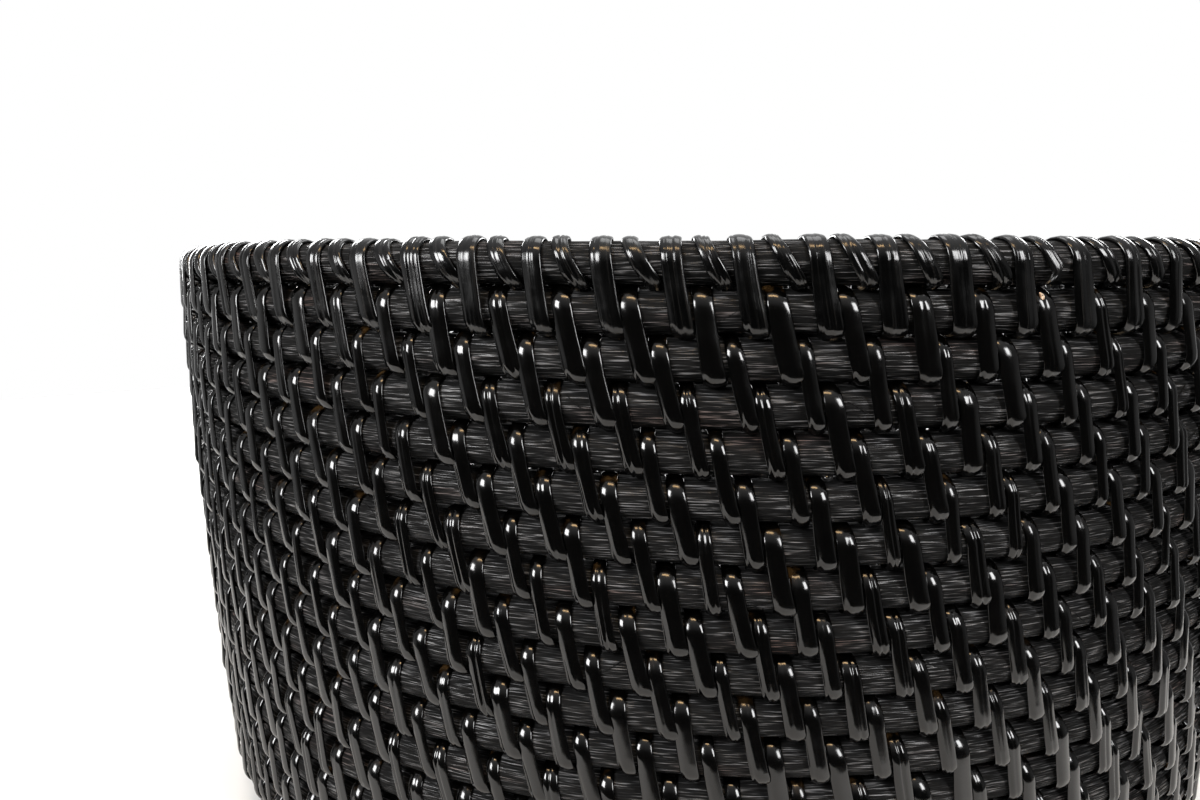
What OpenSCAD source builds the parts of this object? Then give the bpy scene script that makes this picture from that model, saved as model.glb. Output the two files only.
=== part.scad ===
// Round fruit basket of lashed coils: a stack of round rattan-core coils, each pair of
// neighbouring coils bound together by turns of flat peel. The rim has long wraps over
// two coils and short wraps over the rim coil alone, and the base is a flat disc of coils.

/* [Overall] */
// Outside diameter of the rim coil
rim_d = 250; // [200:5:320]
// Rounds of coil in the wall, rim coil included
wall_rounds = 18; // [10:1:22]

/* [Coils] */
// Diameter of the round core that is coiled up
rod_d = 5.8; // [4.5:0.1:7.5]
// Free space left beside one strip where it passes between two coils
gap_clear = 0.22; // [0.15:0.01:0.5]

/* [Wall shape] */
// Inward lean of the wall just below the rim, in degrees
top_lean = 0.8; // [0:0.1:5]
// Inward lean of the wall just above the heel, in degrees
low_lean = 5.7; // [2:0.1:12]
// Inward lean of the last step down, where the wall turns under, in degrees
heel_lean = 22; // [12:1:35]
// Rise of the first step in from the heel, which lifts the base clear, in degrees
base_rise = 25; // [15:1:40]

/* [Lashing] */
// Thickness of the flat strip
strip_t = 0.62; // [0.4:0.02:0.8]
// Width of the strip in the wall and base
strip_w = 2.4; // [1.8:0.1:3]
// Width of the long wraps over the rim and the coil below it
long_wrap_w = 3.2; // [2.4:0.1:4]
// Width of the short wraps over the rim coil alone
short_wrap_w = 2.2; // [1.6:0.1:3]
// Turns of strip in each round of the wall
turns = 40; // [24:8:48]
// Slant of the turns in the wall, in degrees
wall_slant = 12; // [6:1:15]
// How far each round's turns stand along from the round above, as a share of their spacing
stagger = 0.42; // [0.38:0.01:0.46]
// The same in the base, where the turns lie straight across
base_stagger = 0.33; // [0.3:0.01:0.36]
// Fit of the strip on the coils
lash_clear = 0.03; // [0.02:0.01:0.08]
// Depth worn flat on the strips that the basket stands on
foot_wear = 0.2; // [0.1:0.05:0.3]

/* [Hidden] */
$fn = 64;
pitch = rod_d + strip_t + 2*lash_clear + gap_clear;
rim_r = (rim_d - rod_d)/2;
// Closest that two turns of one round stand
min_spacing = 4.5*strip_w;
// Fewest turns in a round are the wall's, halved this many times
most_halvings = 3;
// Share of the free space that a straight turn may take up where its coil is bent
bend_share = 0.9;
// The innermost coil is no tighter than this, so that wide strip still clears the next coil
min_coil_r = max(1.1*rod_d, rod_d/2 + strip_w*strip_w/(8*bend_share*gap_clear));
// Longest strip body that a slanted turn is cut from
turn_l = 3*long_wrap_w;
turn_reach = 4*pitch;
// The flat flanks of a turn stand this far inside its round ends, so that they meet cleanly
flank_inset = 0.01;
// The room for a base row's turns is judged this far inside the row
room_lead = 1.5*pitch;
// Least flat width at the middle of the base's first knot
knot_flat = 0.01;

// Direction of the step from coil k to coil k + 1, in degrees from straight down
function step_lean(k) =
    k < wall_rounds - 1 ? top_lean + (low_lean - top_lean)*k/(wall_rounds - 2) :
    k == wall_rounds - 1 ? heel_lean :
    k == wall_rounds ? 90 + base_rise : 90;
function step(k) = pitch*[-sin(step_lean(k)), -cos(step_lean(k))];

// Centre of each coil's section, as [radius, height below the rim coil], rim coil first
path = [for (k = 1, p = [rim_r, 0]; p[0] >= min_coil_r; p = p + step(k), k = k + 1) p];
coils = len(path);
foot_z = rod_d/2 + lash_clear + strip_t - foot_wear;
rise = foot_z - path[wall_rounds - 1][1];
function at(k) = path[k - 1] + [0, rise];
function lean(k) = k < coils ? step_lean(k) : 90;

// Row k of turns binds coil k to coil k + 1, and row_r is the radius midway between them
function row_r(k) = (at(k)[0] + at(min(coils, k + 1))[0])/2;
// Turns are halved towards the middle of the base, where the next rounds in lack the room
function room_r(k) = max(1, row_r(k) - room_lead);
function halvings(k) =
    min(most_halvings, max(0, ceil(ln(min_spacing*turns/(2*PI*room_r(k)))/ln(2))));
function row_turns(k) = turns/pow(2, halvings(k));
// The step between rows follows the spacing two rows back, so no two turns meet in a gap
function share(k) = k > wall_rounds ? base_stagger : stagger;
function phase(k) = k <= 1 ? 0 : phase(k - 1) + share(k)*360/row_turns(max(1, k - 2));

// Coils of the base by zone: 0 is the outer, 1 the middle, 2 the inner
function zone(k) = min(2, halvings(k));
base_first = wall_rounds + 1;
function zone_coils(z) = [for (k = [base_first:coils]) if (zone(k) == z) k];

function two(k) = k < 10 ? str("0", k) : str(k);

core_colour = [0.07, 0.065, 0.06];
peel_colour = [0.03, 0.027, 0.025];
rim_colour = [0.16, 0.155, 0.15];

// One round of core
module coil(k) {
    rotate_extrude()
        translate(at(k)) circle(d = rod_d);
}

// Outline of a strip's path round two coils that stand one pitch apart, grown by g
module two_rods(g) {
    half = rod_d/2 + g - flank_inset;
    rotate(-90) circle(r = rod_d/2 + g);
    translate([0, -pitch]) rotate(90) circle(r = rod_d/2 + g);
    translate([-half, -pitch]) square([2*half, pitch]);
}

// Extra room that a straight turn needs on a tightly bent coil
function bend_room(r, w) = w*w/(8*(r - rod_d/2));

// One turn of strip round coils k and k + 1
module turn(k, w, slant) {
    room = lash_clear + bend_room(at(k + 1)[0], w);
    intersection() {
        rotate([90, 0, 0])
            linear_extrude(height = turn_l, center = true)
                rotate(-lean(k)) difference() {
                    two_rods(room + strip_t);
                    two_rods(room);
                }
        rotate([0, lean(k), 0])
            translate([0, 0, -pitch/2])
                rotate([slant, 0, 0])
                    cube([turn_reach, w, turn_reach], center = true);
    }
}

// All the turns that bind coil k to coil k + 1
module lashing(k, w, slant) {
    n = row_turns(k);
    p = at(k);
    for (i = [0:n - 1])
        rotate(phase(k) + i*360/n)
            translate([p[0], 0, p[1]])
                turn(k, w, slant);
}

// The turns that reach the floor are worn level there
module worn_level() {
    difference() {
        children();
        translate([0, 0, -pitch]) cube([2*rim_d, 2*rim_d, 2*pitch], center = true);
    }
}

module rim_coil() {
    color(core_colour) coil(1);
}

module wall_coil(k) {
    color(core_colour) coil(k);
}

module rim_long_wraps() {
    color(rim_colour) lashing(1, long_wrap_w, wall_slant);
}

// Short wraps stand on the rim coil midway between the long ones
module rim_short_wraps() {
    n = row_turns(1);
    p = at(1);
    r_in = rod_d/2 + lash_clear;
    color(rim_colour)
        for (i = [0:n - 1])
            rotate(phase(1) + (i + 0.5)*360/n)
                translate([p[0], 0, p[1]])
                    rotate([90, 0, 0])
                        linear_extrude(height = short_wrap_w, center = true)
                            difference() {
                                circle(r = r_in + strip_t);
                                circle(r = r_in);
                            }
}

module wall_lashing(k) {
    color(peel_colour)
        if (k == wall_rounds - 1) worn_level() lashing(k, strip_w, wall_slant);
        else lashing(k, strip_w, wall_slant);
}

module heel_lashing() {
    color(peel_colour) worn_level() lashing(wall_rounds, strip_w, 0);
}

module base_coils(z) {
    color(core_colour) for (k = zone_coils(z)) coil(k);
}

// The first tight knot of core at the middle of the base, with a rounded edge
module base_start() {
    p = at(coils);
    r = p[0] - pitch + rod_d/2;
    color(core_colour)
        translate([0, 0, p[1]])
            rotate_extrude() intersection() {
                union() {
                    translate([max(0, r - rod_d/2), 0]) circle(d = rod_d);
                    translate([0, -rod_d/2]) square([max(knot_flat, r - rod_d/2), rod_d]);
                }
                translate([0, -rod_d]) square([rod_d + r, 2*rod_d]);
            }
}

module base_lashing(z) {
    color(peel_colour)
        for (k = zone_coils(z)) if (k < coils) lashing(k, strip_w, 0);
}

rim_coil();
for (k = [2:wall_rounds])
    wall_coil(k);
rim_long_wraps();
rim_short_wraps();
for (k = [2:wall_rounds - 1])
    wall_lashing(k);
heel_lashing();
base_coils(0);  // base_outer_coils
base_coils(1);  // base_middle_coils
base_coils(2);  // base_inner_coils
base_start();
base_lashing(0);  // base_outer_lashing
base_lashing(1);  // base_middle_lashing
base_lashing(2);  // base_inner_lashing
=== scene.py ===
"""Looks of the lashed coil basket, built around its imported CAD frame.

Every coil and every row of lashing is rebuilt as one mesh that stands for its CAD node. A coil is a
round core with its fibres. A row of lashing is one long flat strip that runs round two coils, turn
after turn, with the small differences that a hand leaves. Lengths are in metres, angles in radians.
"""

import math

import bpy
import numpy as np
from mathutils import Matrix, Vector


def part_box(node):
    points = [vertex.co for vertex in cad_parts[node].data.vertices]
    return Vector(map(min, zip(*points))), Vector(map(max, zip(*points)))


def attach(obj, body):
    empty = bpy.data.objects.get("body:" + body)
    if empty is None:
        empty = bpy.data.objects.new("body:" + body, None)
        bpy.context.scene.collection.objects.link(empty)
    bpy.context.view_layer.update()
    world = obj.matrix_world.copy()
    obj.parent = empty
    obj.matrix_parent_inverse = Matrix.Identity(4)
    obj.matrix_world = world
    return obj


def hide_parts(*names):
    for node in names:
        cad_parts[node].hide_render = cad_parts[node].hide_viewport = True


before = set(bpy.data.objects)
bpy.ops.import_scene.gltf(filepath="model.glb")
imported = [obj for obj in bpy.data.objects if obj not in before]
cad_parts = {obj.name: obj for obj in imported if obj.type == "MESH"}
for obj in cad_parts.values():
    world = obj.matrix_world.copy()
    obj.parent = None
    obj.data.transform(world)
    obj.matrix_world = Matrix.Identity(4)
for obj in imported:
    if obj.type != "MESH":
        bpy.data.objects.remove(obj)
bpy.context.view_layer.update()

MM = 0.001
TAU = 2 * math.pi
SEED = 871

# ---------------------------------------------------------------- sizes that come from the frame
low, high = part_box("wall_coil_02")
ROD_R = (high.z - low.z) / 2


def ring(node):
    """Radius and height of the centre of a node's outermost coil."""
    high_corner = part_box(node)[1]
    return np.array([high_corner.x - ROD_R, high_corner.z - ROD_R])


wall_nodes = ["rim_coil"] + sorted(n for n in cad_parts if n.startswith("wall_coil_"))
coils = [ring(n) for n in wall_nodes]
WALL = len(coils)
PITCH = float(np.linalg.norm(coils[0] - coils[1]))
base_zones = ["base_outer", "base_middle", "base_inner"]
zone_rims = [ring(zone + "_coils")[0] for zone in base_zones]
START_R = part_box("base_start")[1].x
zone_ends = zone_rims[1:] + [START_R]
base_z = ring("base_outer_coils")[1]
zone_coils = []
for outer, end in zip(zone_rims, zone_ends):
    count = max(1, round((outer - end) / PITCH + (0.4 if end == START_R else 0)))
    zone_coils.append([len(coils) + 1 + i for i in range(count)])
    coils += [np.array([outer - i * PITCH, base_z]) for i in range(count)]

# ---------------------------------------------------------------- sizes of the strips
CORE_R = ROD_R + 0.3 * MM  # the core as made, a little fuller than CAD's so that the gaps stay dark
FIT = 0.02 * MM  # strip over core
STRIP_T = 0.55 * MM
STRIP_W = 2.6 * MM
BASE_STRIP_W = 2.2 * MM
LONG_WRAP_W = 3.25 * MM
SHORT_WRAP_W = 2.5 * MM
TURNS = 80
RUN = 2.45 * MM  # how far a turn moves along from its top to its foot
RIM_RUN = 2.3 * MM
SHORT_RUN = 3.7 * MM
INNER_SHARE = 0.86  # width of a strip on the inner side
ROW_2_SHARE = 1.14  # the row under the rim is lashed with wider strip
TOP_SHARE = 0.93  # and at the top of the outer side, from where it widens towards the foot
FLARE = 0.15
CURL = 0.36 * MM  # how far the left edge is rolled in at the foot
STAGGER = 0.42  # of the spacing, from one row to the next
FIRST_TURN = math.radians(-91.9)
ROW_2_LEAD = 4.25 * MM  # from a long wrap to the next row's turn
BEND_R = 2.8 * MM
WANDER = 0.07 * MM  # how far a coil strays from its true ring
EDGE_DROP = 0.12 * MM  # how far a strip's edges are rounded down, over the last share of its width
EDGE_SHARE = 0.2
SKEW = 0.03 * MM  # how unevenly a turn lies
JITTER = 0.2 * MM  # how far the turns stand from even spacing in the second row
DRIFT = 0.11 * MM  # and how much that changes from one row to the next
CHIPPED = 5  # the turn of the second row with a chip and a drop of lacquer at its top
LOOSE_END = 5  # the short wrap that ends in a cut tail on the front of the rim

# ---------------------------------------------------------------- how finely the coils are drawn
CORE_AROUND, CORE_ALONG = 84, 448
BASE_CORE_AROUND = 40
BASE_CORE_STEP = 2.2 * MM
LEAST_ALONG = 48
KNOT = 8 * MM  # the length over which a fibre's ridge comes and goes
RIDGE = 0.036 * MM
LOOSE_FIBRES = 9  # in each round of the wall


# ---------------------------------------------------------------- coils that stray a little
def make_wander(k):
    """How far coil k strays from its ring, outwards and upwards, as a function of the angle."""
    rng = np.random.default_rng([SEED, 1, k])
    waves = np.arange(2, 30)
    size = rng.normal(size=(2, waves.size)) / np.sqrt(waves)
    size *= WANDER / np.sqrt((size**2).sum(1, keepdims=True) / 2)
    start = rng.uniform(0, TAU, size=(2, waves.size))

    def stray(theta):
        flat = np.asarray(theta).ravel()
        table = np.linspace(0, TAU, 1025)
        out = []
        for a, s in zip(size, start):
            curve = (a[:, None] * np.cos(waves[:, None] * table + s[:, None])).sum(0)
            out.append(np.interp(np.mod(flat, TAU), table, curve).reshape(np.shape(theta)))
        return np.stack(out, -1)

    return stray


strays = [make_wander(k + 1) for k in range(len(coils))]


def to_world(theta, radius, z):
    return np.stack([radius * np.cos(theta), radius * np.sin(theta), z], -1)


# ---------------------------------------------------------------- meshes from grids
def mesh_piece(name, grids, material, nodes):
    """One piece from grids of points that close round their last axis.

    A grid is {"points": [n, m, 3], "loop": closed along n, "fields": {name: [n or n + 1, m + 1]}}.
    """
    points, faces, caps, fields = [], [], [], {}
    first = 0
    for grid in grids:
        p = grid["points"]
        n, m = p.shape[:2]
        i = np.arange(n if grid["loop"] else n - 1)[:, None]
        j = np.arange(m)[None, :]
        i2, j2 = (i + 1) % n, (j + 1) % m
        quads = np.stack([i * m + j, i2 * m + j, i2 * m + j2, i * m + j2], -1).reshape(-1, 4)
        a, b, c, d = (p.reshape(-1, 3)[quads[:, q]] for q in range(4))
        volume = np.einsum("ij,ij->i", a + b + c + d, np.cross(c - a, d - b)).sum()
        flip = volume < 0
        faces.append((quads[:, ::-1] if flip else quads) + first)
        rows, cols = np.broadcast_to(i, (i.size, m)), np.broadcast_to(j, (i.size, m))
        corners = [(rows, cols), (rows + 1, cols), (rows + 1, cols + 1), (rows, cols + 1)]
        for key, value in grid["fields"].items():
            v = np.stack([value[r, c] for r, c in corners], -1).reshape(-1, 4)
            fields.setdefault(key, []).append((v[:, ::-1] if flip else v).ravel())
        if not grid["loop"]:
            ends = [np.arange(m)[::-1], (n - 1) * m + np.arange(m)]
            caps += [(e[::-1] if flip else e) + first for e in ends]
            for key, value in grid["fields"].items():
                cap_values = [np.full(m, value[0, 0]), np.full(m, value[-1, 0])]
                fields.setdefault(key + "/caps", []).extend(cap_values)
        points.append(p.reshape(-1, 3))
        first += n * m
    points, faces = np.concatenate(points), np.concatenate(faces)
    loops = np.concatenate([faces.ravel()] + caps).astype(np.int32)
    totals = np.concatenate([np.full(len(faces), 4), [len(c) for c in caps]]).astype(np.int32)
    starts = np.concatenate([[0], np.cumsum(totals)[:-1]]).astype(np.int32)
    mesh = bpy.data.meshes.new(name)
    mesh.vertices.add(len(points))
    mesh.vertices.foreach_set("co", points.astype(np.float32).ravel())
    mesh.loops.add(len(loops))
    mesh.loops.foreach_set("vertex_index", loops)
    mesh.polygons.add(len(totals))
    mesh.polygons.foreach_set("loop_start", starts)
    mesh.polygons.foreach_set("loop_total", totals)
    mesh.polygons.foreach_set("use_smooth", np.ones(len(totals), bool))
    for key in [k for k in fields if not k.endswith("/caps")]:
        values = np.concatenate(fields[key] + fields.get(key + "/caps", []))
        layer = mesh.attributes.new(key, "FLOAT", "CORNER")
        layer.data.foreach_set("value", values.astype(np.float32))
    mesh.update(calc_edges=True)
    mesh.materials.append(material)
    piece = bpy.data.objects.new(name, mesh)
    bpy.context.scene.collection.objects.link(piece)
    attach(piece, "root")
    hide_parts(*nodes)
    return piece


# ---------------------------------------------------------------- the core
def core_grid(k, around, along):
    """One round of core: a circle with fibres along it, as fine ridges that come and go."""
    rng = np.random.default_rng([SEED, 2, k])
    radius, z = coils[k - 1]
    theta = np.linspace(0, TAU, along, endpoint=False)
    phi = np.linspace(0, TAU, around, endpoint=False)
    stray = strays[k - 1](theta)
    knots = max(6, int(radius * TAU / KNOT))
    coarse = rng.normal(size=(knots, around))
    place = theta / TAU * knots
    k0 = np.floor(place).astype(int) % knots
    mix = (place - np.floor(place))[:, None]
    mix = mix * mix * (3 - 2 * mix)
    ridges = coarse[k0] * (1 - mix) + coarse[(k0 + 1) % knots] * mix
    broad = np.cos(2 * phi + rng.uniform(0, TAU)) * 0.03 + np.cos(3 * phi + rng.uniform(0, TAU)) * 0.02
    r = CORE_R - 0.06 * MM + RIDGE * ridges + MM * broad
    out = radius + stray[:, :1] + r * np.cos(phi)
    up = np.maximum(z + stray[:, 1:] + r * np.sin(phi), 0)
    points = to_world(theta[:, None], out, up)
    s = np.linspace(0, TAU * radius, along + 1)[:, None]
    a = np.linspace(0, TAU * CORE_R, around + 1)[None, :]
    ones = np.ones((along + 1, around + 1))
    fields = {"along": s * ones, "across": a * ones, "seed": rng.uniform(0, 9) * ones}
    return {"points": points, "loop": True, "fields": fields}


# ---------------------------------------------------------------- the strips
# Steps along each stretch of a turn, from under the second rod round to its foot, and points across
FINE = {"back": 4, "inner": 4, "over": 5, "top": 8, "leg": 6, "bend": 5, "gap": 2, "across": 15}
PLAIN = {"back": 3, "inner": 2, "over": 3, "top": 4, "leg": 3, "bend": 4, "gap": 1, "across": 10}


def section_path(reach, lean, bend_r, thickness, steps):
    """A strip's path round two rods, seen along them, for each turn.

    It starts under the second rod, goes up the inner side, over the first rod, down the outer side
    and round the foot. u is outwards and v from the first rod to the second.
    """
    r = CORE_R + FIT + thickness / 2
    turns = lean.size
    lean, bend_r, r = lean[:, None], bend_r[:, None], r[:, None] * np.ones((turns, 1))

    def arc(start, end, count, centre_u, centre_v, radius):
        a = start + (end - start) * np.linspace(0, 1, count, endpoint=False)
        a = np.broadcast_to(a, (turns, count))
        return centre_u + radius * np.cos(a), centre_v - radius * np.sin(a), np.cos(a), -np.sin(a)

    def line(u0, v0, u1, v1, nu, nv, count):
        t = np.linspace(0, 1, count, endpoint=False)
        one = np.ones((turns, count))
        return u0 + (u1 - u0) * t, v0 + (v1 - v0) * t, nu * one, nv * one

    quarter = math.pi / 2
    foot_v = reach + r
    bend_v = foot_v - bend_r
    end_v = bend_v - bend_r * np.sin(lean)
    top_u, top_v = r * np.cos(lean), -r * np.sin(lean)
    end_u = top_u + np.tan(lean) * (end_v - top_v)
    bend_u = end_u - bend_r * np.cos(lean)
    parts = [
        arc(-quarter, -2 * quarter, steps["back"], 0, reach, r),
        line(-r, reach, -r, 0, -1, 0, steps["inner"]),
        arc(2 * quarter, quarter, steps["over"], 0, 0, r),
        arc(quarter, lean, steps["top"], 0, 0, r),
        line(top_u, top_v, end_u, end_v, np.cos(lean), -np.sin(lean), steps["leg"]),
        arc(lean, -quarter, steps["bend"], bend_u, bend_v, bend_r),
        line(bend_u, foot_v, 0 * r, foot_v, 0, 1, steps["gap"]),
    ]
    u, v, nu, nv = (np.concatenate([part[q] * np.ones((turns, 1)) for part in parts], 1) for q in range(4))
    half = steps["back"] + steps["inner"] + steps["over"]
    return u, v, nu, nv, half


def smooth(x):
    """0 below 0, 1 above 1, and a smooth step between them."""
    x = np.clip(x, 0, 1)
    return x * x * (3 - 2 * x)


def profile(across):
    """A strip's section, from -1 to 1 across: where its top points lie, and its flat underside."""
    top = np.sin(np.linspace(-1, 1, across) * math.pi / 2) * 0.4 + np.linspace(-1, 1, across) * 0.6
    under = np.array([0.93, 0.3, -0.3, -0.93])
    return top, under


def strip_row(k, rows, x_top, x_foot, width, dome, thickness, lean, steps, joined, marks, mates=None):
    """The strip that binds coil k to the next one: one joined ribbon, or separate turns.

    x_top and x_foot are each turn's places along the coil, as angles, at its top and its foot.
    """
    turns = x_top.size
    rng = np.random.default_rng([SEED, 3, k, rows])
    first = coils[k - 1]
    second = coils[k] if k < len(coils) else np.array([0.0, coils[k - 1][1]])
    gap = second - first
    reach = 0.0 if rows == 1 else float(np.linalg.norm(gap))
    ev = gap / np.linalg.norm(gap)
    eu = np.array([-ev[1], ev[0]])
    bend_r = BEND_R * rng.uniform(0.88, 1.14, turns)
    u, v, nu, nv, half = section_path(reach, lean, bend_r, thickness, steps)
    n = u.shape[1]
    run = np.hypot(np.diff(u, axis=1, append=u[:, -1:]), np.diff(v, axis=1, append=v[:, -1:]))
    s = np.cumsum(run, 1) - run
    end = s[:, -1:] + run[:, -2:-1]
    half_s = s[:, half : half + 1]
    rise = np.clip(s / half_s, 0, 1)
    fall = np.clip((s - half_s - 1.2 * MM) / (end - half_s - 4.2 * MM), 0, 1) ** 1.35
    before = np.roll(x_foot, 1)
    before[0] -= TAU if joined else 0
    if mates is not None:
        before = mates
    theta = before[:, None] + (x_top - before)[:, None] * rise + (x_foot - x_top)[:, None] * fall
    if joined:
        flat = theta.ravel()
        for _ in range(2):
            wide = np.concatenate([[flat[-1] - TAU], flat, [flat[0] + TAU]])
            flat = 0.25 * wide[:-2] + 0.5 * wide[1:-1] + 0.25 * wide[2:]
        theta = flat.reshape(theta.shape)
    weight = np.clip(v / max(reach, 1e-9), 0, 1)[..., None] if reach else np.zeros(v.shape + (1,))
    stray = strays[k - 1](theta) * (1 - weight)
    if k < len(coils):
        stray = stray + strays[k](theta) * weight
    place = first + u[..., None] * eu + v[..., None] * ev + stray
    centre = to_world(theta, place[..., 0], place[..., 1])
    side = nu[..., None] * eu + nv[..., None] * ev
    normal = np.stack([side[..., 0] * np.cos(theta), side[..., 0] * np.sin(theta), side[..., 1]], -1)
    if joined:
        flat = centre.reshape(-1, 3)
        ahead = (np.roll(flat, -1, 0) - np.roll(flat, 1, 0)).reshape(centre.shape)
    else:
        ahead = np.gradient(centre, axis=1)
    ahead /= np.linalg.norm(ahead, axis=-1, keepdims=True)
    wide = np.cross(normal, ahead)
    wide /= np.linalg.norm(wide, axis=-1, keepdims=True)
    normal = np.cross(ahead, wide)

    top, under = profile(steps["across"])
    across = np.concatenate([top, under])
    m = across.size
    outside = np.arange(n) >= half - 1
    lower = np.clip((s - half_s) / (end - half_s), 0, 1) * outside
    share = np.where(outside, TOP_SHARE + FLARE * lower, INNER_SHARE)
    for _ in range(2):
        wide_share = np.pad(share, ((0, 0), (1, 1)), mode="wrap")
        share = 0.25 * wide_share[:, :-2] + 0.5 * share + 0.25 * wide_share[:, 2:]
    waver = 1 + 0.03 * np.cos(np.linspace(0, TAU, n) * 2 + rng.uniform(0, TAU, (turns, 1)))
    half_w = width[:, None] / 2 * share * waver
    q = np.abs(top)
    edge = np.clip((q - 1 + EDGE_SHARE) / EDGE_SHARE, 0, 1)
    height = thickness[:, None] / 2 - dome[:, None] * q**2 - EDGE_DROP * edge**3
    for at, depth, breadth in marks:
        height = height - depth[:, None] * np.exp(-(((top - at[:, None]) / breadth) ** 2))
    foot = smooth((lower - 0.2) / 0.5)
    rolled = CURL * rng.uniform(0.5, 1.1, (turns, 1, 1)) * foot[:, :, None] * smooth((-top - 0.3) / 0.65)
    height = np.maximum(height[:, None] - rolled, -thickness[:, None, None] / 2 + 0.05 * MM)
    floor = np.broadcast_to(-thickness[:, None, None] / 2, (turns, n, under.size))
    height = np.concatenate([height, floor], 2)
    skew = rng.normal(0, SKEW, (turns, 1, 1))
    height = height + skew * across
    points = (
        centre[:, :, None, :]
        + wide[:, :, None, :] * (half_w[:, :, None] * across)[..., None]
        + normal[:, :, None, :] * height[..., None]
    )
    points[..., 2] = np.maximum(points[..., 2], 0)

    length = s + np.arange(turns)[:, None] * 40 * MM
    seeds = rng.uniform(0, 9, (turns, 1)) * np.ones((1, n))
    # Mask for the amber just past each turn's crest over the first rod: partly thinned lacquer, partly a
    # painted warm glint
    crest = np.exp(-(((np.arange(n) - half - 1.2) / 2.0) ** 2)) * rng.uniform(0.0, 1.0, (turns, 1)) ** 1.5
    tail = np.clip((s - end + 2.6 * MM) / (2.0 * MM), 0, 1) * (np.arange(n) >= half)
    edges = np.append(across, across[0]) * half_w.mean()

    def field(value):
        grid = np.concatenate([value, np.roll(value, -1, 0)[:, :1]], 1)
        return grid[..., None] * np.ones(m + 1)

    all_fields = {
        "along": field(length),
        "across": np.broadcast_to(edges, (turns, n + 1, m + 1)),
        "seed": field(seeds),
        "wear": field(crest),
        "tail": field(tail),
    }
    all_fields["along"][:, -1] = (length[:, -1:] + run[:, -2:-1])[:, :, None][:, 0]
    if not joined:
        return [
            {
                "points": points[t],
                "loop": False,
                "fields": {key: value[t] for key, value in all_fields.items()},
            }
            for t in range(turns)
        ]
    # One closed ribbon: each row of the grid keeps its own values at its start
    flat_fields = {}
    for key, value in all_fields.items():
        rows_of = value[:, :-1].reshape(turns * n, m + 1)
        flat_fields[key] = np.concatenate([rows_of, value[-1, -1:]], 0)
    return [{"points": points.reshape(turns * n, m, 3), "loop": True, "fields": flat_fields}]


def hand_marks(rng, turns, doubled, grooved):
    """Grooves along the strips: a shallow one on some, a deep one where two strands lie side by side."""
    two = rng.uniform(size=turns) < doubled
    one = (rng.uniform(size=turns) < grooved) & ~two
    depth = np.where(two, rng.uniform(0.2, 0.34, turns), np.where(one, rng.uniform(0.04, 0.11, turns), 0))
    return [(rng.uniform(-0.25, 0.25, turns), depth * MM, 0.13)]


def wall_turns(k, spacing, jitter, run):
    """Angles of the tops and feet of row k's turns."""
    radius = coils[k - 1][0]
    tops = phases[k] + np.arange(round(TAU / spacing)) * spacing + jitter / radius
    rng = np.random.default_rng([SEED, 4, k])
    return tops, tops + run * rng.uniform(0.75, 1.25, tops.size) / radius


# ---------------------------------------------------------------- materials
def new_material(name):
    material = bpy.data.materials.new(name)
    material.use_nodes = True
    tree = material.node_tree
    return material, tree, tree.nodes["Principled BSDF"]


def add(tree, kind, **settings):
    node = tree.nodes.new(kind)
    for key, value in settings.items():
        setattr(node, key, value)
    return node


def attribute(tree, name):
    return add(tree, "ShaderNodeAttribute", attribute_name=name).outputs["Fac"]


def math_node(tree, operation, a, b, clamp=False):
    node = add(tree, "ShaderNodeMath", operation=operation, use_clamp=clamp)
    for socket, value in zip(node.inputs, (a, b)):
        if isinstance(value, (int, float)):
            socket.default_value = value
        else:
            tree.links.new(value, socket)
    return node.outputs[0]


def grain(tree, along, across, detail=3.0, shift=0.0):
    """Noise stretched along a strip or a core. along and across are in grains a metre."""
    place = add(tree, "ShaderNodeCombineXYZ")
    seeded = math_node(tree, "ADD", math_node(tree, "MULTIPLY", attribute(tree, "seed"), 7.3), shift)
    tree.links.new(math_node(tree, "MULTIPLY", attribute(tree, "along"), along), place.inputs[0])
    tree.links.new(math_node(tree, "MULTIPLY", attribute(tree, "across"), across), place.inputs[1])
    tree.links.new(seeded, place.inputs[2])
    noise = add(tree, "ShaderNodeTexNoise")
    noise.inputs["Scale"].default_value = 1.0
    noise.inputs["Detail"].default_value = detail
    tree.links.new(place.outputs[0], noise.inputs["Vector"])
    return noise.outputs["Fac"]


def ramp(tree, factor, stops):
    """A colour ramp. Stops are (place, colour), where a colour is three numbers or one grey."""
    node = add(tree, "ShaderNodeValToRGB")
    elements = node.color_ramp.elements
    while len(elements) < len(stops):
        elements.new(0.5)
    for element, (place, colour) in zip(elements, stops):
        element.position = place
        rgb = (colour,) * 3 if isinstance(colour, (int, float)) else colour
        element.color = (*rgb, 1)
    tree.links.new(factor, node.inputs[0])
    return node.outputs[0]


def mix_colour(tree, factor, a, b):
    node = add(tree, "ShaderNodeMix", data_type="RGBA")
    for socket, value in ((node.inputs[0], factor), (node.inputs[6], a), (node.inputs[7], b)):
        if isinstance(value, tuple):
            socket.default_value = (*value, 1)
        elif isinstance(value, (int, float)):
            socket.default_value = value
        else:
            tree.links.new(value, socket)
    return node.outputs[2]


def bump(tree, height, distance, strength, before=None):
    node = add(tree, "ShaderNodeBump")
    node.inputs["Strength"].default_value = strength
    node.inputs["Distance"].default_value = distance
    tree.links.new(height, node.inputs["Height"])
    if before is not None:
        tree.links.new(before, node.inputs["Normal"])
    return node.outputs[0]


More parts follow.
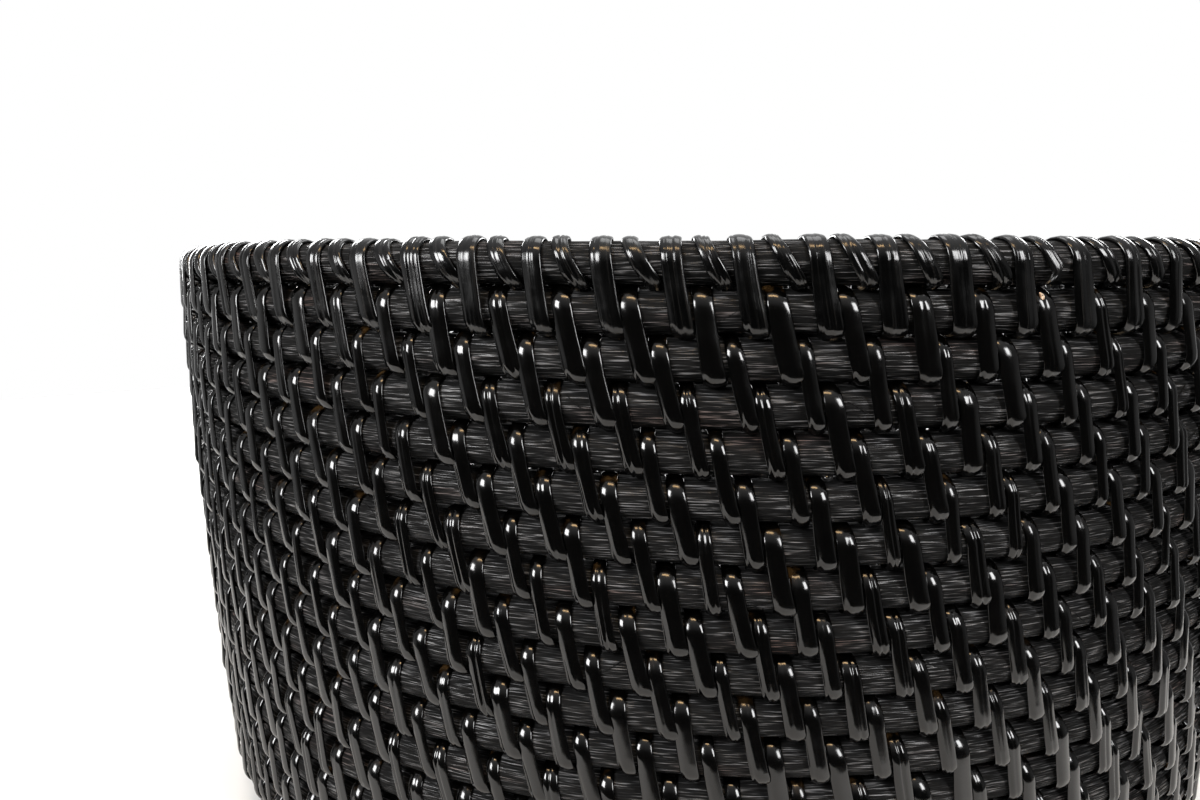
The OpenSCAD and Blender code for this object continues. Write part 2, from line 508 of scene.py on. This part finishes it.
def core_material():
    """Stained rattan core: dark and satin, with fibres along it and redder patches. The pale streaks on its
    fibres are partly the grain's own tone and partly painted glints.
    """
    material, tree, shader = new_material("core")
    fibres = grain(tree, 240, 5200, 1.5)
    coarse = grain(tree, 26, 700, 3.0, 11.0)
    patches = grain(tree, 30, 110, 2.0, 23.0)
    # The bright top stops of these two ramps paint glints onto the fibres, over their own darker grain
    dark = ramp(tree, fibres, [(0.50, 0.0002), (0.58, 0.006), (0.70, (0.11, 0.108, 0.11))])
    brown_grain_and_glints = [(0.49, (0.0014, 0.0006, 0.0004)), (0.58, (0.007, 0.004, 0.003)), (0.70, (0.085, 0.05, 0.04))]
    red_grain_and_glints = ramp(tree, fibres, brown_grain_and_glints)
    spots = ramp(tree, patches, [(0.56, 0.0), (0.72, 0.85)])
    tree.links.new(mix_colour(tree, spots, dark, red_grain_and_glints), shader.inputs["Base Color"])
    rough = ramp(tree, fibres, [(0.48, 0.85), (0.6, 0.24)])
    tree.links.new(rough, shader.inputs["Roughness"])
    normal = bump(tree, fibres, 0.16 * MM, 1.0, bump(tree, coarse, 0.12 * MM, 0.6))
    tree.links.new(normal, shader.inputs["Normal"])
    shader.inputs["Specular IOR Level"].default_value = 0.2
    return material


def peel_material():
    """Black lacquered peel: glossy, with fine lines along it, and amber at the crests of its top bends that
    is partly thinned lacquer and partly a painted warm glint.
    """
    material, tree, shader = new_material("peel")
    lines = grain(tree, 60, 5200, 2.0)
    waves = grain(tree, 180, 420, 3.0, 5.0)
    cloud = grain(tree, 260, 260, 3.0, 17.0)
    base = ramp(tree, lines, [(0.3, (0.0002, 0.00018, 0.00016)), (0.75, (0.0008, 0.0007, 0.0006))])
    patchy = ramp(tree, cloud, [(0.56, 0.0), (0.7, 0.5)])
    # Amber mixed into the colour at the top bends: partly thinned lacquer, partly a painted warm glint
    thin_lacquer_and_glint = math_node(tree, "MULTIPLY", attribute(tree, "wear"), patchy)
    amber = ramp(tree, cloud, [(0.4, (0.10, 0.045, 0.012)), (0.8, (0.40, 0.22, 0.075))])
    tree.links.new(mix_colour(tree, thin_lacquer_and_glint, base, amber), shader.inputs["Base Color"])
    rough = ramp(tree, cloud, [(0.3, 0.10), (0.75, 0.2)])
    tree.links.new(rough, shader.inputs["Roughness"])
    normal = bump(tree, lines, 0.004 * MM, 0.5, bump(tree, waves, 0.05 * MM, 0.45))
    tree.links.new(normal, shader.inputs["Normal"])
    shader.inputs["IOR"].default_value = 1.52
    return material


def rim_material():
    """The rim's wider strip: the same peel with its fibres showing, pale where it is frayed."""
    material, tree, shader = new_material("rim_peel")
    lines = grain(tree, 45, 3000, 3.0)
    splits = grain(tree, 60, 1500, 2.0, 9.0)
    cloud = grain(tree, 260, 300, 3.0, 17.0)
    base = ramp(tree, lines, [(0.46, 0.0003), (0.58, 0.001), (0.7, (0.010, 0.0095, 0.009))])
    strands = ramp(tree, splits, [(0.56, 0.0), (0.66, 1.0)])
    frayed = math_node(tree, "MULTIPLY", attribute(tree, "tail"), strands)
    pale = ramp(tree, lines, [(0.3, (0.10, 0.07, 0.04)), (0.8, (0.42, 0.33, 0.22))])
    tree.links.new(mix_colour(tree, frayed, base, pale), shader.inputs["Base Color"])
    rough = ramp(tree, cloud, [(0.35, 0.1), (0.7, 0.26)])
    tree.links.new(rough, shader.inputs["Roughness"])
    normal = bump(tree, lines, 0.07 * MM, 0.8, bump(tree, splits, 0.06 * MM, 0.6))
    tree.links.new(normal, shader.inputs["Normal"])
    shader.inputs["IOR"].default_value = 1.5
    return material


def bare_material():
    """Bare rattan where the lacquer has chipped off."""
    material, tree, shader = new_material("bare_rattan")
    place = add(tree, "ShaderNodeTexCoord").outputs["Object"]
    noise = add(tree, "ShaderNodeTexNoise")
    noise.inputs["Scale"].default_value = 2600
    tree.links.new(place, noise.inputs["Vector"])
    straw = ramp(tree, noise.outputs["Fac"], [(0.35, (0.34, 0.2, 0.11)), (0.6, (0.72, 0.56, 0.42))])
    tree.links.new(straw, shader.inputs["Base Color"])
    tree.links.new(bump(tree, noise.outputs["Fac"], 0.05 * MM, 0.6), shader.inputs["Normal"])
    shader.inputs["Roughness"].default_value = 0.6
    return material


core = core_material()
peel = peel_material()
rim_peel = rim_material()

spacing = TAU / TURNS
phases = {1: FIRST_TURN, 2: FIRST_TURN + ROW_2_LEAD / coils[1][0]}
for k in range(3, WALL + 1):
    phases[k] = phases[k - 1] + STAGGER * spacing


# ---------------------------------------------------------------- coils
def even_fields(rows, columns, **values):
    """Fields that are the same all over a grid."""
    return {name: np.full((rows + 1, columns + 1), value) for name, value in values.items()}


def tube_grid(path, radii, sides=6):
    """A thin closed tube along a path, with its own radius at each point."""
    ahead = np.gradient(path, axis=0)
    ahead /= np.linalg.norm(ahead, axis=1, keepdims=True)
    side = np.cross(ahead, [0, 0, 1.0])
    side /= np.linalg.norm(side, axis=1, keepdims=True)
    other = np.cross(ahead, side)
    turn = np.linspace(0, TAU, sides, endpoint=False)[None, :, None]
    ring_of = side[:, None] * np.cos(turn) + other[:, None] * np.sin(turn)
    points = path[:, None] + ring_of * np.asarray(radii)[:, None, None]
    fields = even_fields(len(path), sides, along=0.0, across=0.0, seed=1.7)
    return {"points": points, "loop": False, "fields": fields}


def bead_grid(centre, axes, seed):
    """A small lump: a ball stretched along three axes, with an uneven surface."""
    rng = np.random.default_rng([SEED, 11, seed])
    up = np.radians(np.linspace(-78, 78, 9))[:, None, None]
    turn = np.linspace(0, TAU, 12, endpoint=False)[None, :, None]
    axes = [np.asarray(a) for a in axes]
    points = np.cos(up) * (np.cos(turn) * axes[0] + np.sin(turn) * axes[1]) + np.sin(up) * axes[2]
    points = centre + points * (1 + 0.09 * rng.normal(size=(9, 12, 1)))
    fields = even_fields(9, 12, along=0.0, across=0.0, seed=2.6, wear=0.0, tail=0.0)
    return {"points": points, "loop": False, "fields": fields}


def on_coil(k, theta, phi, lift):
    """A point over coil k's surface, with its directions along the coil, round it and outwards."""
    radius, z = coils[k - 1]
    reach = CORE_R + lift
    ring_out = np.array([math.cos(theta), math.sin(theta), 0])
    along = np.array([-math.sin(theta), math.cos(theta), 0])
    outwards = ring_out * math.cos(phi) + np.array([0, 0, math.sin(phi)])
    place = ring_out * radius + np.array([0, 0, z]) + outwards * reach
    return place, along, np.cross(outwards, along), outwards


def stray_fibres(k, count):
    """Fibres that have come loose from coil k, in the open between two turns of its lashing."""
    rng = np.random.default_rng([SEED, 10, k])
    radius, z = coils[k - 1]
    grids = []
    for slot in rng.choice(TURNS, count, replace=False):
        t = np.linspace(-0.5, 0.5, 9)
        length = rng.uniform(2.0, 4.2) * MM
        middle = phases[k] + (slot + 0.375) * spacing
        theta = middle + t * length / radius
        phi = rng.uniform(-0.7, 0.75) + t * rng.uniform(-0.9, 0.9) + rng.uniform(-0.5, 0.5) * t**2
        lift = CORE_R + MM * (0.02 + rng.uniform(0.1, 0.9) * np.clip(t, 0, 1) ** 2)
        path = to_world(theta, radius + lift * np.cos(phi), z + lift * np.sin(phi))
        radii = rng.uniform(0.045, 0.09) * MM * (1 - 0.7 * np.abs(2 * t) ** 3)
        grids.append(tube_grid(path, radii))
    return grids


for k, node in enumerate(wall_nodes, 1):
    loose = stray_fibres(k, LOOSE_FIBRES) if 1 < k < WALL else []
    mesh_piece(f"core_{k:02d}", [core_grid(k, CORE_AROUND, CORE_ALONG)] + loose, core, [node])
for zone, ks in zip(base_zones, zone_coils):
    steps = [max(LEAST_ALONG, int(coils[k - 1][0] * TAU / BASE_CORE_STEP)) for k in ks]
    grids = [core_grid(k, BASE_CORE_AROUND, count) for k, count in zip(ks, steps)]
    mesh_piece(f"{zone}_core", grids, core, [f"{zone}_coils"])

# ---------------------------------------------------------------- rows of lashing in the wall
jitter = np.random.default_rng([SEED, 5]).normal(0, JITTER, TURNS)
for k in range(2, WALL + 1):
    rng = np.random.default_rng([SEED, 6, k])
    jitter = 0.85 * jitter + rng.normal(0, DRIFT, TURNS)
    tops, feet = wall_turns(k, spacing, jitter, RUN if k < WALL else 0.6 * RUN)
    width = STRIP_W * np.clip(rng.normal(1, 0.09, TURNS), 0.78, 1.18) * (ROW_2_SHARE if k == 2 else 1)
    thick = STRIP_T * rng.uniform(0.9, 1.1, TURNS)
    dome = rng.uniform(0.26, 0.4, TURNS) * MM
    lean = np.radians(rng.uniform(0.5, 4.5, TURNS))
    marks = hand_marks(rng, TURNS, 0.15, 0.4)
    grids = strip_row(k, 2, tops, feet, width, dome, thick, lean, FINE, True, marks)
    node = "heel_lashing" if k == WALL else f"lashing_{k:02d}"
    if k == 2:
        # A drop of lacquer that ran down beside one turn
        spot = tops[CHIPPED] - 1.5 * MM / coils[1][0]
        place, along, round_coil, outwards = on_coil(k, spot, 0.35, 0.1 * MM)
        drop = (along * 0.75 * MM, round_coil * 0.95 * MM, outwards * 0.45 * MM)
        run = (along * 0.4 * MM, round_coil * 0.6 * MM, outwards * 0.3 * MM)
        grids.append(bead_grid(place, drop, 1))
        grids.append(bead_grid(place - round_coil * 0.9 * MM, run, 2))
    mesh_piece(f"strip_{k:02d}", grids, peel, [node])

# ---------------------------------------------------------------- a chip in the lacquer
spot = phases[2] + CHIPPED * spacing - 0.3 * MM / coils[1][0]
place, along, round_coil, outwards = on_coil(2, spot, 0.62, 0.5 * MM)
chip = bead_grid(place, (along * 0.42 * MM, round_coil * 0.6 * MM, outwards * 0.16 * MM), 3)
mesh_piece("chip", [chip], bare_material(), ["lashing_02"])

# ---------------------------------------------------------------- the rim's wraps
def cut_short(grid):
    """A wrap that ends part of the way down the front, in a folded tail with a slanted cut."""
    last = FINE["back"] + FINE["inner"] + FINE["over"] + FINE["top"] - 1
    points = grid["points"][: last + 1]
    middle = points[-1].mean(0)
    outwards = np.array([middle[0], middle[1], 0]) / np.hypot(middle[0], middle[1])
    along = np.array([-outwards[1], outwards[0], 0])
    down = np.array([0, 0, -1.0])
    narrower = (middle - points[-1]) * 0.15
    slant = np.linspace(-0.5, 0.5, points.shape[1])[:, None] * along * MM
    flat = points[-1] + (0.5 * along + 0.9 * down + 0.3 * outwards) * MM
    crest = flat + (0.2 * along + 0.6 * down + 0.25 * outwards) * MM
    folded = crest + (-0.3 * along + 0.7 * down - 0.1 * outwards) * MM + narrower
    tip = folded + (-0.7 * along + 1.2 * down - 0.3 * outwards) * MM + slant + 2 * narrower
    points = np.concatenate([points, flat[None], crest[None], folded[None], tip[None]])
    n = len(points)
    fields = {key: value[: n + 1] for key, value in grid["fields"].items()}
    return {"points": points, "loop": False, "fields": fields}


rng = np.random.default_rng([SEED, 8])
rim_radius = coils[0][0]
long_top = phases[1] + np.arange(TURNS) * spacing + rng.normal(0, 0.16 * MM, TURNS) / rim_radius
long_foot = long_top + RIM_RUN / rim_radius * rng.uniform(0.6, 1.4, TURNS)
short_top = long_top + 0.42 * spacing + rng.normal(0, 0.15 * MM, TURNS) / rim_radius
short_foot = short_top + SHORT_RUN / rim_radius * rng.uniform(0.8, 1.15, TURNS)
before_long = np.roll(short_foot, 1)
before_long[0] -= TAU
# The inner leg of each wrap comes up from the foot of the wrap before it
for name, rows, tops, feet, last, strip_w in (
    ("rim_long", 2, long_top, long_foot, before_long, LONG_WRAP_W),
    ("rim_short", 1, short_top, short_foot, long_foot, SHORT_WRAP_W),
):
    width = strip_w * np.clip(rng.normal(1, 0.08, TURNS), 0.82, 1.15)
    thick = STRIP_T * rng.uniform(1.15, 1.4, TURNS)
    dome = rng.uniform(0.22, 0.36, TURNS) * MM
    lean = np.radians(rng.uniform(0.5, 3.5, TURNS))
    marks = [
        (rng.uniform(-0.7, 0.7, TURNS), rng.uniform(0, 0.1, TURNS) * MM, 0.09) for _ in range(3)
    ] + hand_marks(rng, TURNS, 0.3, 0.3)
    grids = strip_row(1, rows, tops, feet, width, dome, thick, lean, FINE, False, marks, last)
    if name == "rim_short":
        grids[LOOSE_END] = cut_short(grids[LOOSE_END])
    mesh_piece(name, grids, rim_peel, [f"{name}_wraps"])

# ---------------------------------------------------------------- rows of lashing in the base
base_phase = phases[WALL]
base_turns = TURNS
for zone, ks, turns in zip(base_zones, zone_coils, (TURNS, TURNS // 2, TURNS // 4)):
    grids = []
    for k in ks:
        if coils[k - 1][0] < 4.6 * PITCH and zone == "base_inner":
            turns = TURNS // 8
        base_phase += STAGGER * TAU / base_turns
        base_turns = turns
        if k == len(coils):
            break
        rng = np.random.default_rng([SEED, 9, k])
        radius = coils[k - 1][0]
        middle = base_phase + (np.arange(turns) + rng.normal(0, 0.02, turns)) * TAU / turns
        width = BASE_STRIP_W * np.clip(rng.normal(1, 0.07, turns), 0.8, 1.12)
        thick = STRIP_T * rng.uniform(0.92, 1.08, turns)
        dome = rng.uniform(0.24, 0.36, turns) * MM
        lean = np.radians(rng.uniform(0.0, 2.0, turns))
        half = 0.3 * MM / radius * np.ones(turns)
        marks = hand_marks(rng, turns, 0.1, 0.4)
        grids += strip_row(k, 2, middle - half, middle + half, width, dome, thick, lean, PLAIN, True, marks)
    mesh_piece(f"{zone}_strip", grids, peel, [f"{zone}_lashing"])


# ---------------------------------------------------------------- the tight start of the base
def start_grid(around, along):
    """The knot of core that the base is wound from: a flat spiral end, domed and grooved."""
    theta = np.linspace(0, TAU, along, endpoint=False)
    phi = np.linspace(-math.pi / 2, math.pi / 2, around)
    rim = START_R - 0.05 * MM
    reach = rim - ROD_R
    rows = np.concatenate([np.linspace(0.15 * MM, reach, 8), np.full(around, reach)])
    side = np.concatenate([np.zeros(8), np.cos(phi[::-1]) * ROD_R])
    up = np.concatenate([np.full(8, ROD_R), np.sin(phi[::-1]) * ROD_R])
    rows = np.concatenate([rows, np.linspace(reach, 0.15 * MM, 8)])
    side = np.concatenate([side, np.zeros(8)])
    up = np.concatenate([up, np.full(8, -ROD_R)])
    radius = rows + side
    groove = 0.35 * MM * np.exp(-(((radius - 1.6 * MM) / (0.5 * MM)) ** 2)) * np.sign(up)
    turn = 0.25 * MM * np.cos(theta[:, None]) * np.clip(radius / rim, 0, 1)
    z = coils[-1][1] + (up - groove) * 0.97 + 0 * theta[:, None]
    points = to_world(theta[:, None], radius + 0 * theta[:, None] - np.abs(turn) * 0.2, z)
    n, m = points.shape[:2]
    s = np.linspace(0, TAU * rim, n + 1)[:, None] * np.ones((1, m + 1))
    a = np.linspace(0, 4 * ROD_R, m + 1)[None, :] * np.ones((n + 1, 1))
    fields = {"along": s, "across": a, "seed": np.full((n + 1, m + 1), 4.2)}
    return {"points": points, "loop": True, "fields": fields}


mesh_piece("start_core", [start_grid(17, 64)], core, ["base_start"])


# ---------------------------------------------------------------- floor, light and camera
def floor_material():
    material, _, shader = new_material("floor")
    shader.inputs["Base Color"].default_value = (0.74, 0.74, 0.735, 1)
    shader.inputs["Roughness"].default_value = 0.6
    return material


def make_floor(name, inner, outer, material):
    """A flat ring of floor between two ovals, or one oval where inner is None.

    An oval is the x of its centre and its half width and half depth.
    """
    count = 128
    turn = [TAU * i / count for i in range(count)]
    points = [(outer[0] + outer[1] * math.cos(t), outer[2] * math.sin(t), 0) for t in turn]
    faces = [list(range(count))]
    if inner:
        points += [(inner[0] + inner[1] * math.cos(t), inner[2] * math.sin(t), 0) for t in turn]
        faces = [[i, (i + 1) % count, count + (i + 1) % count, count + i] for i in range(count)]
    mesh = bpy.data.meshes.new(name)
    mesh.from_pydata(points, [], faces)
    mesh.materials.append(material)
    floor = bpy.data.objects.new(name, mesh)
    bpy.context.scene.collection.objects.link(floor)
    return floor


def make_softbox(name, azimuth, distance, bottom, top, width, radiance, colour=(1, 1, 1)):
    """An upright softbox that faces the basket. Azimuth is from the camera's side, to the right."""
    a = math.radians(azimuth)
    middle = (bottom + top) / 2
    height = top - bottom
    data = bpy.data.lights.new(name, "AREA")
    data.shape = "RECTANGLE"
    data.size, data.size_y = width, height
    data.energy = radiance * math.pi * width * height
    data.color = colour
    light = bpy.data.objects.new(name, data)
    light.location = (distance * math.sin(a), -distance * math.cos(a), middle)
    look = Vector((0, 0, middle * 0.5)) - light.location
    light.rotation_euler = look.to_track_quat("-Z", "Y").to_euler()
    bpy.context.scene.collection.objects.link(light)
    return light


def make_overhead(name, place, size, radiance, colour=(1, 1, 1)):
    data = bpy.data.lights.new(name, "AREA")
    data.shape = "RECTANGLE"
    data.size, data.size_y = size
    data.energy = radiance * math.pi * size[0] * size[1]
    data.color = colour
    light = bpy.data.objects.new(name, data)
    light.location = place
    look = Vector((0, 0, 0.06)) - light.location
    light.rotation_euler = look.to_track_quat("-Z", "Y").to_euler()
    bpy.context.scene.collection.objects.link(light)
    return light


def make_world():
    """White behind the object, and round it a dark room under a pale ceiling."""
    world = bpy.data.worlds.new("studio")
    bpy.context.scene.world = world
    world.use_nodes = True
    tree = world.node_tree
    background = tree.nodes["Background"]
    height = add(tree, "ShaderNodeSeparateXYZ")
    tree.links.new(add(tree, "ShaderNodeTexCoord").outputs["Generated"], height.inputs[0])
    room = ramp(tree, height.outputs[2], [(0.0, 0.03), (0.3, 0.06), (0.75, 0.5), (1.0, 0.8)])
    wall = ramp(tree, height.outputs[1], [(0.35, 0.0), (0.75, 1.0)])
    room = mix_colour(tree, wall, room, (0.9, 0.9, 0.9))
    leftwards = math_node(tree, "MULTIPLY", height.outputs[0], -1.0)
    left = ramp(tree, leftwards, [(0.85, 0.0), (0.99, 1.0)])
    room = mix_colour(tree, left, room, (0.5, 0.5, 0.5))
    right = ramp(tree, height.outputs[0], [(0.85, 0.0), (0.99, 1.0)])
    room = mix_colour(tree, right, room, (0.22, 0.22, 0.22))
    seen = add(tree, "ShaderNodeLightPath").outputs["Is Camera Ray"]
    tree.links.new(mix_colour(tree, seen, room, (1.0, 1.0, 1.0)), background.inputs["Color"])
    return world


def make_camera():
    """Just below the rim and close in front of it, looking level and a little to the left."""
    outer = coils[0][0] + ROD_R
    rim_top = coils[0][1] + ROD_R + FIT + STRIP_T
    pan, tilt, roll = math.radians(-5.92), math.radians(7.83), math.radians(0.05)
    forward = Vector((math.sin(pan), math.cos(pan), 0))
    right = Vector((math.cos(pan), -math.sin(pan), 0))
    up = Vector((0, 0, 1))
    ahead = forward * math.cos(tilt) - up * math.sin(tilt)
    above = up * math.cos(tilt) + forward * math.sin(tilt)
    side = right * math.cos(roll) + above * math.sin(roll)
    above = above * math.cos(roll) - right * math.sin(roll)
    data = bpy.data.cameras.new("camera")
    data.sensor_width = 36
    data.lens = 28.5
    data.clip_start = 0.01
    camera = bpy.data.objects.new("camera", data)
    place = Vector((0, -2.04 * outer, rim_top - 0.035 * outer))
    turn = Matrix((side, above, -ahead)).transposed().to_4x4()
    camera.matrix_world = Matrix.Translation(place) @ turn
    bpy.context.scene.collection.objects.link(camera)
    bpy.context.scene.camera = camera
    return camera


pale = floor_material()
NEAR = (-0.05, 0.27, 0.2)
make_floor("floor_near", None, NEAR, pale)
# The rest of the floor doesn't show in the lacquer, as if the table ended there
make_floor("floor_far", NEAR, (0, 0.8, 0.8), pale).visible_glossy = False
make_softbox("softbox_left", -45, 1.2, 0.34, 0.88, 0.44, 27)
make_softbox("softbox_right", 47, 1.2, 0.36, 0.95, 0.36, 20)
make_softbox("softbox_back_left", -140, 1.3, 0.1, 0.8, 0.38, 14)
make_softbox("softbox_back_right", 140, 1.3, 0.1, 0.8, 0.38, 14)
make_overhead("overhead", (0.05, 0.35, 1.25), (0.6, 0.6), 3)
make_overhead("warm_lamp", (0.0, -0.55, 1.15), (0.6, 0.12), 17, (1.0, 0.66, 0.32))
make_world()
make_camera()

view = bpy.context.scene.view_settings
view.view_transform = "Standard"
view.look = "None"
